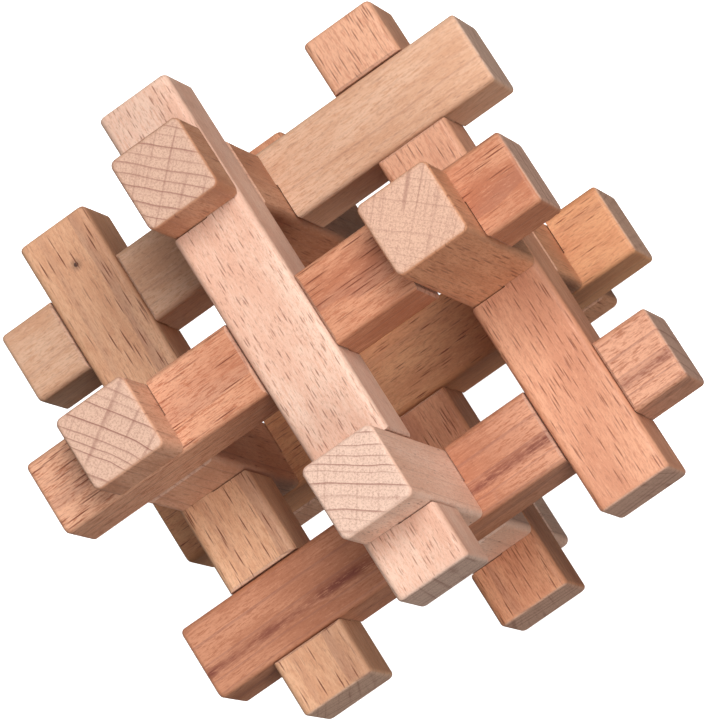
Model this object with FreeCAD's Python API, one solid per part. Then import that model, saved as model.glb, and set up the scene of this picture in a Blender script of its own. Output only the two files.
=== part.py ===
import FreeCAD, Part
import os

# Twelve-stick burr puzzle in beech. Three woven square frames, one in each of the
# planes x = 0, y = 0 and z = 0, pass through each other. Each frame has four sticks.
# Every stick crosses three others in half laps: one at its middle and one near each end.
# Millimetres, +Z up, origin at the puzzle's centre.

# ---- driving dimensions -------------------------------------------------------
STICK = 12.0            # width and thickness of every square stick
LENGTH = 83.0           # length of every stick
OFFSET = 26.2           # distance from the centre to each stick's centre line
SIDE_PLAY = 0.15        # gap on each side of a stick in the notch that holds it
LAP_PLAY = 0.20         # gap between the floors of the two notches of one lap
LONG_EDGE_R = 1.1       # rounding of the four long edges
END_EDGE_R = 0.7        # rounding of the edges round each end face
MOUTH_CHAMFER = 0.35    # small bevel on the two edges where a notch opens
KEY_RELIEF = 6.5        # extra length of the notch in which the key stick can shift sideways

HALF = STICK / 2
END = LENGTH / 2
NOTCH_HALF = HALF + SIDE_PLAY
NOTCH_DEPTH = HALF + LAP_PLAY / 2
OVERRUN = 2.0           # how far a cutter runs past the wood it cuts

X, Y, Z = 0, 1, 2
UNIT = [FreeCAD.Vector(1, 0, 0), FreeCAD.Vector(0, 1, 0), FreeCAD.Vector(0, 0, 1)]

# Each stick: the axis it runs along, and where its centre line lies.
STICKS = {
    "bar_x_top": (X, (0, 0, OFFSET)),
    "bar_x_front": (X, (0, -OFFSET, 0)),
    "bar_x_back": (X, (0, OFFSET, 0)),
    "bar_x_bottom": (X, (0, 0, -OFFSET)),
    "bar_y_left": (Y, (-OFFSET, 0, 0)),
    "bar_y_right": (Y, (OFFSET, 0, 0)),
    "bar_y_top": (Y, (0, 0, OFFSET)),
    "bar_y_bottom": (Y, (0, 0, -OFFSET)),
    "upright_left": (Z, (-OFFSET, 0, 0)),
    "upright_front": (Z, (0, -OFFSET, 0)),
    "upright_right": (Z, (OFFSET, 0, 0)),
    "upright_back": (Z, (0, OFFSET, 0)),
}

# Each lap: the stick that keeps the half on the plus side, then the one that keeps
# the minus side. The two sides are taken along the axis that neither stick runs along.
LAPS = [
    # frame in the plane z = 0, each stick over the next one round
    ("bar_x_front", "bar_y_left"),
    ("bar_y_left", "bar_x_back"),
    ("bar_x_back", "bar_y_right"),
    ("bar_y_right", "bar_x_front"),
    # frame in the plane y = 0
    ("bar_x_top", "upright_left"),
    ("upright_right", "bar_x_top"),
    ("bar_x_bottom", "upright_right"),
    ("upright_left", "bar_x_bottom"),
    # frame in the plane x = 0
    ("upright_back", "bar_y_top"),
    ("bar_y_top", "upright_front"),
    ("bar_y_bottom", "upright_back"),
    ("bar_y_bottom", "upright_front"),
    # where two frames cross, at the middle of both sticks
    ("bar_x_top", "bar_y_top"),
    ("bar_y_bottom", "bar_x_bottom"),
    ("upright_left", "bar_y_left"),
    ("bar_y_right", "upright_right"),
    ("upright_front", "bar_x_front"),
    ("bar_x_back", "upright_back"),
]

# The key stick shifts sideways towards -X, out of its laps with the top and bottom bars
# along Y. The bar that it crosses at its middle has a longer notch to leave it room.
KEY_STICK = "upright_front"
KEY_HOLDER = "bar_x_front"


def lap_axis(one, other):
    """The axis that neither of two crossing sticks runs along."""
    return 3 - STICKS[one][0] - STICKS[other][0]


def rounded_stick(axis, centre):
    """A square stick with rounded long edges and softened ends."""
    size = [STICK, STICK, STICK]
    size[axis] = LENGTH
    corner = FreeCAD.Vector(*centre) - FreeCAD.Vector(*size) * 0.5
    stick = Part.makeBox(size[0], size[1], size[2], corner)
    long_edges = [edge for edge in stick.Edges if edge.Length > LENGTH - 1]
    stick = stick.makeFillet(LONG_EDGE_R, long_edges)
    end_edges = []
    for edge in stick.Edges:
        middle = edge.valueAt((edge.FirstParameter + edge.LastParameter) / 2)
        at_an_end = abs(abs(middle[axis]) - END) < 0.01
        if at_an_end:
            end_edges.append(edge)
    return stick.makeFillet(END_EDGE_R, end_edges)


def notch_cutter(name, other, side):
    """The block that cuts one notch of a stick. side is +1 or -1, the side it opens on."""
    axis, centre = STICKS[name]
    depth_axis = lap_axis(name, other)
    across_axis = 3 - axis - depth_axis
    middle = STICKS[other][1][axis]
    low = middle - NOTCH_HALF
    high = middle + NOTCH_HALF
    if name == KEY_HOLDER and other == KEY_STICK:
        low -= KEY_RELIEF
    surface = HALF - MOUTH_CHAMFER
    top = HALF + OVERRUN
    spread = MOUTH_CHAMFER + OVERRUN
    # section of the cutter: straight walls, then a 45 degree bevel at the mouth
    section = [
        (low, HALF - NOTCH_DEPTH),
        (high, HALF - NOTCH_DEPTH),
        (high, surface),
        (high + spread, top),
        (low - spread, top),
        (low, surface),
    ]
    points = []
    for along, height in section:
        place = list(centre)
        place[axis] = along
        place[depth_axis] = centre[depth_axis] + side * height
        place[across_axis] = centre[across_axis] - HALF - OVERRUN
        points.append(FreeCAD.Vector(*place))
    outline = Part.makePolygon(points + [points[0]])
    return Part.Face(outline).extrude(UNIT[across_axis] * (STICK + 2 * OVERRUN))


def make_stick(name):
    """One finished stick: the rounded blank less its three notches."""
    axis, centre = STICKS[name]
    stick = rounded_stick(axis, centre)
    for upper, lower in LAPS:
        if name == upper:
            stick = stick.cut(notch_cutter(name, lower, -1))
        elif name == lower:
            stick = stick.cut(notch_cutter(name, upper, +1))
    return stick.removeSplitter()


os.makedirs("parts", exist_ok=True)
for stick_name in STICKS:
    shape = make_stick(stick_name)
    print(stick_name, "solids", len(shape.Solids), "valid", shape.isValid(),
          "volume", round(shape.Volume, 1), "box", shape.BoundBox)
    shape.Solids[0].exportStep("parts/" + stick_name + ".step")
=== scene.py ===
import math
from types import SimpleNamespace

import bpy
from mathutils import Matrix, Vector


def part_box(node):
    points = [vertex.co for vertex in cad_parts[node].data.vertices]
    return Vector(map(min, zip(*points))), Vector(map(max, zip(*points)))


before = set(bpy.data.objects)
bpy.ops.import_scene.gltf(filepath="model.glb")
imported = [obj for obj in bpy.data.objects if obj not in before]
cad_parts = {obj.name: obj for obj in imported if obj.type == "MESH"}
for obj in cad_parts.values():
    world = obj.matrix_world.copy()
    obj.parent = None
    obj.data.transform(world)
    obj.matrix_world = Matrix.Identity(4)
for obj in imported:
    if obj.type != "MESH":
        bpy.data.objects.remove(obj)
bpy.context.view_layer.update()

# ---- sizes, worked out from the frame ------------------------------------------
MM = 0.001
low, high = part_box("bar_x_top")
STICK = high[1] - low[1]
HALF_MM = STICK / 2 / MM
END_MM = (high[0] - low[0]) / 2 / MM
FLOOR_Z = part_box("upright_left")[0][2]

# ---- wood colours, as they look on screen --------------------------------------
END_GRAIN = (208, 178, 160)
RING_LINE = (140, 92, 78)
FLECK = (118, 60, 38)
HEART_RED = (112, 52, 40)
KNOT_DARK = (48, 28, 22)

# ---- layers of colour: where each starts, where it is full, and its strength ----
FADE = (2.0, 30.0, 0.75)            # mm from the stick's middle
FIBRE_DARK = (0.48, 0.62, 0.90)
FIBRE_PALE = (0.46, 0.34, 0.60)
SPECKS = (0.50, 0.66, 0.24)
KNOT_HALO = (1.3, 0.4, 0.35)        # mm from the knot's centre
KNOT_CORE = (0.55, 0.25, 0.95)
END_PORES = (0.46, 0.60, 0.40)
FINE_RAYS = (0.52, 0.74, 0.26)

# ---- growth rings: where the colour of each part starts, is full, and drops again --
LATE_WOOD = (0.55, 0.97, 0.985)     # shares of a ring's width
DARK_LINE = (0.81, 0.93, 0.98)
LINE_SHARE = 0.75                   # the rest of the colour is late wood
RING_UNEVENNESS = 2.2

# ---- strengths of the single marks ---------------------------------------------
FLECK_MARK = 0.95
SMALL_FLECK_MARK = 0.50
RADIAL_FLECK_LOSS = 0.82            # how much of a fleck is lost on a face cut along the rays
END_GREY = 0.65                     # how far the end grain leaves the stick's own tone
END_MARK = 0.90
RAY_MARK = 0.50
END_FLECK_MARK = 0.15
# the edges are paler: partly rubbed wear, partly a painted highlight
EDGE_WEAR_AND_HIGHLIGHT = 0.35
FAINTEST_RING = 0.25
FAINTEST_RAY = 0.5
FAINTEST_STREAK = 0.45
TONE_CHANGE = (0.32, 0.68)          # where the noise leaves the pale tone, and reaches the deep one

# ---- shine and relief ----------------------------------------------------------
SPECULAR = 0.38
SMOOTHEST = 0.40
FIBRE_ROUGHNESS = 0.22
END_ROUGHNESS = 0.2
BUMP_STRENGTH = 0.55

# ---- sizes in the wood, mm -----------------------------------------------------
WANDER = 1.4                        # the grain strays up to half of this each way
FLECK_HALF_WIDTH = 0.14
FLECK_HALF_DEPTH = 9.0
SMALL_FLECK_HALF_WIDTH = 0.10
SMALL_FLECK_HALF_DEPTH = 5.0
SMALL_FLECK_KEEP = 0.38             # share of the possible small flecks that are there
BROAD_RAY_SPACING = 2.7
BUMP_DEPTH = 0.14
PALE_LONG_EDGE = (1.0, 0.1)         # from the faces: where the paler edge (rubbed wear and painted highlight) starts, and where it is full
PALE_END_EDGE = (0.9, 0.1)

# Each stick's own piece of beech.
#   tone        colour of the pale wood and of the darker wood
#   pith_deg    which way the middle of the tree lies, seen across the stick
#   pith        how far away it lies, mm
#   ring        spacing of the growth rings, mm
#   ring_mark   how strongly a ring shows on the long sides
#   fleck       half length of the longest ray flecks along the grain, mm
#   fleck_keep  share of the possible flecks that are there
#   fleck_mark  how dark the flecks are, where it isn't FLECK_MARK
#   end_mark    how dark the rings are on the end grain, where it isn't END_MARK
#   ray_mark    how dark the broad rays are on the end grain, where it isn't RAY_MARK
#   fade        which end is another colour (-1 or 1 along the stick), and that colour
#   streak      a red heartwood streak: its place across the stick and half width, mm, and strength
#   knot        a pin knot: its place along and across the stick, mm from the stick's centre
STICKS = {
    "bar_x_top": dict(tone=((228, 193, 172), (214, 166, 142)), pith_deg=86, pith=120, ring=2.3,
                      ring_mark=0.20, fleck=1.15, fleck_keep=0.62),
    "bar_x_front": dict(tone=((226, 178, 142), (206, 150, 114)), pith_deg=72, pith=70, ring=2.0,
                        ring_mark=0.44, fleck=2.2, fleck_keep=0.60, knot=(-34.3, 0.4, 6.0)),
    "bar_x_back": dict(tone=((222, 163, 130), (200, 137, 106)), pith_deg=98, pith=90, ring=2.6,
                       ring_mark=0.30, fleck=1.9, fleck_keep=0.85, fade=(-1, (226, 174, 142))),
    "bar_x_bottom": dict(tone=((222, 160, 122), (194, 126, 92)), pith_deg=80, pith=80, ring=2.2,
                         ring_mark=0.50, fleck=2.0, fleck_keep=0.75),
    "bar_y_left": dict(tone=((222, 181, 152), (205, 155, 122)), pith_deg=38, pith=100, ring=1.9,
                       ring_mark=0.24, fleck=1.6, fleck_keep=0.35, fleck_mark=0.55),
    "bar_y_right": dict(tone=((200, 140, 108), (168, 106, 76)), pith_deg=8, pith=75, ring=2.4,
                        ring_mark=0.60, fleck=0.9, fleck_keep=0.12, streak=(1.9, 1.36, 1.0),
                        fade=(1, (226, 170, 140))),
    "bar_y_top": dict(tone=((208, 148, 114), (174, 106, 74)), pith_deg=95, pith=85, ring=1.7,
                      ring_mark=0.50, fleck=2.8, fleck_keep=0.75, fade=(-1, (232, 180, 148))),
    "bar_y_bottom": dict(tone=((222, 162, 118), (200, 134, 94)), pith_deg=75, pith=95, ring=2.2,
                         ring_mark=0.36, fleck=1.6, fleck_keep=0.60),
    "upright_left": dict(tone=((204, 152, 120), (180, 122, 90)), pith_deg=-45, pith=140, ring=1.6,
                         ring_mark=0.30, fleck=2.6, fleck_keep=0.40),
    "upright_front": dict(tone=((222, 172, 142), (198, 142, 112)), pith_deg=-57, pith=130, ring=1.7,
                          ring_mark=0.40, fleck=1.8, fleck_keep=0.30),
    "upright_right": dict(tone=((246, 208, 186), (230, 182, 156)), pith_deg=-34, pith=200, ring=1.5,
                          ring_mark=0.24, fleck=0.9, fleck_keep=0.16, ray_mark=0.22),
    "upright_back": dict(tone=((222, 162, 124), (196, 132, 96)), pith_deg=-43, pith=110, ring=1.1,
                         ring_mark=0.32, fleck=3.4, fleck_keep=0.70, end_mark=0.40),
}


def linear(rgb):
    """A screen colour (0 to 255) as the linear colour that a shader takes."""
    channels = []
    for value in rgb:
        c = value / 255
        channels.append(c / 12.92 if c <= 0.04045 else ((c + 0.055) / 1.055) ** 2.4)
    return (*channels, 1.0)


class Graph:
    """Short calls for building one material's nodes."""

    def __init__(self, material):
        material.use_nodes = True
        self.tree = material.node_tree
        self.tree.nodes.clear()

    def node(self, kind, **settings):
        made = self.tree.nodes.new(kind)
        for key, value in settings.items():
            setattr(made, key, value)
        return made

    def put(self, socket, value):
        """Joins value to a socket, or sets it if it is a plain number, vector or colour."""
        if isinstance(value, bpy.types.NodeSocket):
            self.tree.links.new(value, socket)
        else:
            socket.default_value = value

    def math(self, operation, *values):
        made = self.node("ShaderNodeMath", operation=operation)
        for socket, value in zip(made.inputs, values):
            self.put(socket, value)
        return made.outputs[0]

    def times(self, first, *others):
        for other in others:
            first = self.math("MULTIPLY", first, other)
        return first

    def plus(self, first, second):
        return self.math("ADD", first, second)

    def at_least(self, value, least):
        """Squeezes 0 to 1 into least to 1."""
        return self.math("MULTIPLY_ADD", value, 1 - least, least)

    def vector(self, x, y, z):
        made = self.node("ShaderNodeCombineXYZ")
        for socket, value in zip(made.inputs, (x, y, z)):
            self.put(socket, value)
        return made.outputs[0]

    def parts(self, vector):
        """The x, y and z of a vector."""
        made = self.node("ShaderNodeSeparateXYZ")
        self.put(made.inputs[0], vector)
        return list(made.outputs)

    def step(self, value, start, end):
        """0 before start and 1 past end, with a soft change between them."""
        made = self.node("ShaderNodeMapRange", interpolation_type="SMOOTHSTEP")
        self.put(made.inputs["Value"], value)
        made.inputs["From Min"].default_value = min(start, end)
        made.inputs["From Max"].default_value = max(start, end)
        made.inputs["To Min"].default_value = 0.0 if start < end else 1.0
        made.inputs["To Max"].default_value = 1.0 if start < end else 0.0
        return made.outputs[0]

    def amount(self, value, layer):
        """How far a layer comes in, from its start, its end and its strength."""
        start, end, strength = layer
        return self.times(self.step(value, start, end), strength)

    def mix(self, factor, first, second):
        made = self.node("ShaderNodeMix", data_type="RGBA")
        self.put(made.inputs[0], factor)
        self.put(made.inputs[6], first)
        self.put(made.inputs[7], second)
        return made.outputs[2]

    def noise(self, vector, scale, detail=2.0, roughness=0.5):
        made = self.node("ShaderNodeTexNoise")
        self.put(made.inputs["Vector"], vector)
        made.inputs["Scale"].default_value = scale
        made.inputs["Detail"].default_value = detail
        made.inputs["Roughness"].default_value = roughness
        return made.outputs[0]


def tree_layout(graph, name, look, seed):
    """Where each point of a stick lies in the tree that it was sawn from, in mm: along the
    grain, out from the pith (radius), and round the rings (arc). u and v lie across the stick."""
    box_low, box_high = (Vector(corner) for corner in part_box(name))
    size = box_high - box_low
    axis = max(range(3), key=lambda i: size[i])
    across = [i for i in range(3) if i != axis]
    centre = (box_low + box_high) / 2

    coordinates = graph.node("ShaderNodeTexCoord")
    place = graph.parts(coordinates.outputs["Object"])
    in_mm = [graph.times(graph.math("SUBTRACT", place[i], centre[i]), 1 / MM) for i in range(3)]
    along, u, v = in_mm[axis], in_mm[across[0]], in_mm[across[1]]

    # the grain wanders a little
    spot = graph.vector(graph.plus(u, seed * 13.1), graph.plus(v, seed * 7.7), graph.times(along, 0.25))
    wander = graph.math("MULTIPLY_ADD", graph.noise(spot, 0.10), WANDER, -WANDER / 2)
    angle = math.radians(look["pith_deg"])
    cos, sin = math.cos(angle), math.sin(angle)
    towards = graph.plus(graph.plus(graph.times(u, cos), graph.times(v, sin)), wander)
    sideways = graph.plus(graph.plus(graph.times(u, -sin), graph.times(v, cos)), graph.times(wander, 0.25))
    outward = graph.math("SUBTRACT", look["pith"], towards)
    radius = graph.math("SQRT", graph.plus(graph.times(outward, outward), graph.times(sideways, sideways)))
    arc = graph.times(graph.math("ARCTAN2", sideways, outward), look["pith"])

    # which way the surface faces: along the grain it is end grain, round the rings it is a radial cut
    facing = graph.parts(coordinates.outputs["Normal"])
    facing_round = graph.plus(graph.times(facing[across[0]], -sin), graph.times(facing[across[1]], cos))
    end_grain = graph.step(graph.math("ABSOLUTE", facing[axis]), 0.55, 0.85)
    radial_cut = graph.step(graph.math("ABSOLUTE", facing_round), 0.55, 0.95)
    return SimpleNamespace(along=along, u=u, v=v, radius=radius, arc=arc, end_grain=end_grain,
                           radial_cut=radial_cut)


def growth_rings(graph, wood, look, seed):
    """Unevenly spaced rings. Each darkens slowly and ends in a thin dark line."""
    uneven = graph.noise(graph.vector(wood.radius, seed * 3.0, 0.0), 0.30, detail=1.0)
    phase = graph.plus(graph.math("DIVIDE", wood.radius, look["ring"]),
                       graph.times(uneven, RING_UNEVENNESS))
    within = graph.math("FRACT", phase)
    late, line = (graph.times(graph.step(within, start, full), graph.step(within, 1.0, drop))
                  for start, full, drop in (LATE_WOOD, DARK_LINE))
    ring_number = graph.node("ShaderNodeTexWhiteNoise", noise_dimensions="1D")
    graph.put(ring_number.inputs["W"], graph.math("FLOOR", phase))
    weight = graph.at_least(ring_number.outputs[0], FAINTEST_RING)
    profile = graph.plus(graph.times(late, 1 - LINE_SHARE), graph.times(line, LINE_SHARE))
    return graph.times(profile, weight)


def rays(graph, wood, half_length, half_width, half_depth, keep, seed):
    """Beech rays: thin upright sheets that run out from the pith. They show as short dark
    dashes on a tangential face and as lines on the end grain."""
    reach = 0.36                    # size of a sheet in its cell of the pattern
    place = graph.vector(
        graph.math("MULTIPLY_ADD", wood.arc, reach / half_width, seed),
        graph.math("MULTIPLY_ADD", wood.radius, reach / half_depth, seed * 0.37),
        graph.math("MULTIPLY_ADD", wood.along, reach / half_length, seed * 0.71),
    )
    cells = graph.node("ShaderNodeTexVoronoi", voronoi_dimensions="3D", feature="F1")
    graph.put(cells.inputs["Vector"], place)
    cells.inputs["Scale"].default_value = 1.0
    chance = graph.node("ShaderNodeSeparateColor")
    graph.put(chance.inputs[0], cells.outputs["Color"])
    inside = graph.step(cells.outputs["Distance"], reach, reach * 0.35)
    there = graph.math("LESS_THAN", chance.outputs[0], keep)
    strength = graph.at_least(chance.outputs[1], FAINTEST_RAY)
    return graph.times(inside, there, strength)


def grain_noise(graph, wood, across_scale, along_scale, detail, roughness):
    """Noise drawn out along the grain, with its scales in cycles per mm."""
    place = graph.vector(graph.times(wood.arc, across_scale), graph.times(wood.radius, across_scale),
                         graph.times(wood.along, along_scale))
    return graph.noise(place, 1.0, detail=detail, roughness=roughness)


def wood_patterns(graph, wood, look, seed):
    """The patterns that the colours and the surface relief share. Wherever a seed comes in,
    it only moves a pattern to a place of its own."""
    pore_place = graph.vector(wood.u, wood.v, graph.times(wood.along, 0.4))
    tone_place = graph.vector(graph.plus(wood.u, seed * 31.0), wood.v, graph.times(wood.along, 0.22))
    return SimpleNamespace(
        ring=growth_rings(graph, wood, look, seed),
        large=rays(graph, wood, look["fleck"], FLECK_HALF_WIDTH, FLECK_HALF_DEPTH, look["fleck_keep"],
                   seed * 5.3),
        small=rays(graph, wood, look["fleck"] / 2, SMALL_FLECK_HALF_WIDTH, SMALL_FLECK_HALF_DEPTH,
                   SMALL_FLECK_KEEP, seed * 2.9 + 40),
        fibre=grain_noise(graph, wood, 3.6, 0.50, detail=4.0, roughness=0.75),
        specks=grain_noise(graph, wood, 4.2, 1.5, detail=3.0, roughness=0.8),
        pores=graph.noise(pore_place, 3.2, detail=4.0, roughness=0.85),
        tone=graph.noise(tone_place, 0.16, detail=3.0, roughness=0.6),
    )


def heart_streak(graph, wood, look, pattern, seed):
    """How strongly the red heartwood shows: a band along the stick, broken into patches."""
    place, half_width, strength = look["streak"]
    drift = graph.math("MULTIPLY_ADD", pattern.tone, 2.0, -1.0)
    offset = graph.plus(graph.math("SUBTRACT", wood.u, place), drift)
    band = graph.step(graph.math("ABSOLUTE", offset), half_width, 0.0)
    patch_place = graph.vector(seed * 9.0, seed * 4.0, graph.times(wood.along, 0.10))
    patches = graph.step(graph.noise(patch_place, 1.0, detail=3.0), 0.36, 0.60)
    patches = graph.at_least(patches, FAINTEST_STREAK)
    return graph.times(band, patches, graph.step(pattern.fibre, 0.28, 0.52), strength)


def pin_knot(graph, wood, look):
    """How strongly the knot shows: a dark core in a faint halo."""
    gaps = [graph.math("SUBTRACT", value, centre)
            for value, centre in zip((wood.along, wood.u, wood.v), look["knot"])]
    length = graph.node("ShaderNodeVectorMath", operation="LENGTH")
    graph.put(length.inputs[0], graph.vector(*gaps))
    distance = length.outputs["Value"]
    return graph.math("MAXIMUM", graph.amount(distance, KNOT_HALO), graph.amount(distance, KNOT_CORE))


def side_colour(graph, wood, look, pattern, seed):
    """The colour of the long faces."""
    pale, deep = (linear(rgb) for rgb in look["tone"])
    fleck = linear(FLECK)
    colour = graph.mix(graph.step(pattern.tone, *TONE_CHANGE), pale, deep)
    if "fade" in look:
        faded_end, faded_tone = look["fade"]
        faded = graph.amount(graph.times(wood.along, faded_end), FADE)
        colour = graph.mix(faded, colour, linear(faded_tone))
    colour = graph.mix(graph.amount(pattern.fibre, FIBRE_DARK), colour, deep)
    colour = graph.mix(graph.amount(pattern.fibre, FIBRE_PALE), colour, pale)
    colour = graph.mix(graph.amount(pattern.specks, SPECKS), colour, fleck)
    colour = graph.mix(graph.times(pattern.ring, look["ring_mark"]), colour, linear(RING_LINE))
    if "streak" in look:
        streak = heart_streak(graph, wood, look, pattern, seed)
        colour = graph.mix(streak, colour, linear(HEART_RED))
    if "knot" in look:
        colour = graph.mix(pin_knot(graph, wood, look), colour, linear(KNOT_DARK))
    # flecks are faint on a face that is cut along the rays
    shown = graph.math("MULTIPLY_ADD", wood.radial_cut, -RADIAL_FLECK_LOSS, 1.0)
    colour = graph.mix(graph.times(pattern.small, SMALL_FLECK_MARK, shown), colour, fleck)
    fleck_mark = look.get("fleck_mark", FLECK_MARK)
    return graph.mix(graph.times(pattern.large, fleck_mark, shown), colour, fleck)


def broad_rays(graph, wood, seed):
    """The few wide rays on the end grain, unevenly spaced and fading in and out."""
    sway = graph.times(graph.noise(graph.vector(wood.arc, seed * 2.0, 0.0), 0.3), 2.5)
    phase = graph.math("FRACT", graph.plus(graph.math("DIVIDE", wood.arc, BROAD_RAY_SPACING), sway))
    ray = graph.step(graph.math("ABSOLUTE", graph.math("SUBTRACT", phase, 0.5)), 0.13, 0.0)
    fading = graph.noise(graph.vector(wood.arc, graph.times(wood.radius, 0.25), seed * 4.0), 0.45)
    return graph.times(ray, graph.step(fading, 0.36, 0.62))


def end_colour(graph, wood, look, pattern, seed):
    """The colour of the sawn ends: greyer, with clear ring lines, rays and pores."""
    dark = linear(RING_LINE)
    colour = graph.mix(END_GREY, linear(look["tone"][0]), linear(END_GRAIN))
    colour = graph.mix(graph.amount(pattern.pores, END_PORES), colour, dark)
    colour = graph.mix(graph.times(pattern.ring, look.get("end_mark", END_MARK)), colour, dark)
    fine_place = graph.vector(wood.arc, graph.times(wood.radius, 0.05), graph.times(wood.along, 0.05))
    fine_rays = graph.noise(fine_place, 1.9, detail=2.0, roughness=0.75)
    colour = graph.mix(graph.amount(fine_rays, FINE_RAYS), colour, dark)
    ray_mark = look.get("ray_mark", RAY_MARK)
    colour = graph.mix(graph.times(broad_rays(graph, wood, seed), ray_mark), colour, dark)
    return graph.mix(graph.times(pattern.large, END_FLECK_MARK), colour, dark)


def edge_wear_and_highlight(graph, wood, pattern):
    """Where the edges are paler, partly from rubbed wear and partly as a painted highlight: the four long
    ones and those round each end.
    """
    edge_u, edge_v, edge_end = (
        graph.step(graph.math("ABSOLUTE", place), reach - start, reach - full)
        for place, reach, (start, full) in ((wood.u, HALF_MM, PALE_LONG_EDGE),
                                            (wood.v, HALF_MM, PALE_LONG_EDGE),
                                            (wood.along, END_MM, PALE_END_EDGE)))
    round_end = graph.times(edge_end, graph.math("MAXIMUM", edge_u, edge_v))
    wear_and_highlight = graph.math("MAXIMUM", graph.times(edge_u, edge_v), round_end)
    return graph.times(wear_and_highlight, graph.step(pattern.fibre, 0.30, 0.60))


def relief(graph, wood, pattern):
    """Surface relief. On the long faces dark fibres stand up and rays lie lower. The ends are
    rough, with saw marks."""
    on_side = graph.math("SUBTRACT", graph.times(pattern.fibre, 0.7), graph.times(pattern.large, 0.6))
    saw_place = graph.vector(graph.times(wood.u, 0.5), graph.times(wood.v, 3.0), 0.0)
    saw = graph.noise(saw_place, 1.0, detail=3.0)
    on_end = graph.plus(graph.times(pattern.pores, 0.8), graph.times(saw, 0.5))
    side_grain = graph.math("SUBTRACT", 1.0, wood.end_grain)
    bump = graph.node("ShaderNodeBump")
    bump.inputs["Strength"].default_value = BUMP_STRENGTH
    bump.inputs["Distance"].default_value = BUMP_DEPTH * MM
    height = graph.plus(graph.times(on_side, side_grain), graph.times(on_end, wood.end_grain))
    graph.put(bump.inputs["Height"], height)
    return bump.outputs[0]


def beech(name, seed):
    """The material of one stick."""
    look = STICKS[name]
    material = bpy.data.materials.new("beech_" + name)
    graph = Graph(material)
    wood = tree_layout(graph, name, look, seed)
    pattern = wood_patterns(graph, wood, look, seed)
    side = side_colour(graph, wood, look, pattern, seed)
    colour = graph.mix(wood.end_grain, side, end_colour(graph, wood, look, pattern, seed))
    # paler edges: partly rubbed wear, partly a painted highlight
    worn_and_lit = graph.times(edge_wear_and_highlight(graph, wood, pattern), EDGE_WEAR_AND_HIGHLIGHT)
    colour = graph.mix(worn_and_lit, colour, linear(look["tone"][0]))
    roughness = graph.plus(graph.math("MULTIPLY_ADD", pattern.fibre, FIBRE_ROUGHNESS, SMOOTHEST),
                           graph.times(wood.end_grain, END_ROUGHNESS))

    shader = graph.node("ShaderNodeBsdfPrincipled")
    graph.put(shader.inputs["Base Color"], colour)
    graph.put(shader.inputs["Roughness"], roughness)
    shader.inputs["Specular IOR Level"].default_value = SPECULAR
    graph.put(shader.inputs["Normal"], relief(graph, wood, pattern))
    output = graph.node("ShaderNodeOutputMaterial")
    graph.put(output.inputs["Surface"], shader.outputs[0])
    return material


def dress(name, material):
    """Gives a CAD stick its material."""
    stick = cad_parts[name]
    if not stick.material_slots:
        stick.data.materials.append(material)
    for place in stick.material_slots:
        place.material = material


SEED_STEP = 1.37
for number, stick_name in enumerate(STICKS, start=1):
    dress(stick_name, beech(stick_name, number * SEED_STEP))

# ---- floor ---------------------------------------------------------------------
# It glows evenly, so no shadow shows on it. It is hidden from diffuse and glossy rays, so it
# doesn't light the wood and isn't mirrored in it.
FLOOR_SIZE = 4.0
bpy.ops.mesh.primitive_plane_add(size=FLOOR_SIZE, location=(0, 0, FLOOR_Z))
floor = bpy.context.object
floor.name = "floor"
floor_material = bpy.data.materials.new("pale_floor")
floor_material.use_nodes = True
floor_shader = floor_material.node_tree.nodes["Principled BSDF"]
floor_shader.inputs["Base Color"].default_value = (0.92, 0.92, 0.92, 1)
floor_shader.inputs["Roughness"].default_value = 0.9
floor_shader.inputs["Emission Color"].default_value = (1, 1, 1, 1)
floor_shader.inputs["Emission Strength"].default_value = 1.0
floor.data.materials.append(floor_material)
floor.visible_diffuse = False
floor.visible_glossy = False

# ---- camera --------------------------------------------------------------------
# Its distances from the puzzle are in stick widths, so they follow the part's size.
CAMERA_PLACE = Vector((16.69, 11.92, 60.44)) * STICK
CAMERA_RIGHT = Vector((0.515, 0.803, -0.299))
NEARLY_UP = Vector((-0.817, 0.566, 0.114))
CAMERA_BACK = CAMERA_RIGHT.cross(NEARLY_UP).normalized()
CAMERA_UP = CAMERA_BACK.cross(CAMERA_RIGHT).normalized()
camera_data = bpy.data.cameras.new("camera")
camera_data.sensor_fit = "HORIZONTAL"
camera_data.sensor_width = 36.0
camera_data.lens = 267.2
camera_data.shift_x = -0.004
camera_data.clip_end = 10.0
camera = bpy.data.objects.new("camera", camera_data)
bpy.context.scene.collection.objects.link(camera)
turn = Matrix((CAMERA_RIGHT.normalized(), CAMERA_UP, CAMERA_BACK)).transposed()
camera.matrix_world = Matrix.Translation(CAMERA_PLACE) @ turn.to_4x4()
bpy.context.scene.camera = camera

# ---- lights --------------------------------------------------------------------
# Each: the direction it shines from, its distance and size in metres, and its watts.
SOFTBOXES = {
    "key": ((-0.13, 0.42, 0.90), 0.9, 0.50, 8.4),
    "side_fill": ((0.76, 0.24, 0.60), 1.1, 0.6, 5.6),
    "left_fill": ((-0.50, -0.40, 0.77), 1.1, 0.6, 1.6),
}
ROOM_COLOUR = (1.0, 0.95, 0.90, 1)
ROOM_STRENGTH = 0.12


def softbox(name, direction, distance, size, watts):
    """A square soft light that shines at the puzzle from the given direction."""
    lamp = bpy.data.lights.new(name, "AREA")
    lamp.shape = "SQUARE"
    lamp.size = size
    lamp.energy = watts
    holder = bpy.data.objects.new(name, lamp)
    bpy.context.scene.collection.objects.link(holder)
    holder.location = Vector(direction).normalized() * distance
    holder.rotation_euler = Vector(direction).to_track_quat("Z", "Y").to_euler()


for light_name, settings in SOFTBOXES.items():
    softbox(light_name, *settings)
world = bpy.data.worlds.new("soft_room")
world.use_nodes = True
background = world.node_tree.nodes["Background"]
background.inputs["Color"].default_value = ROOM_COLOUR
background.inputs["Strength"].default_value = ROOM_STRENGTH
bpy.context.scene.world = world
bpy.context.scene.view_settings.view_transform = "Standard"
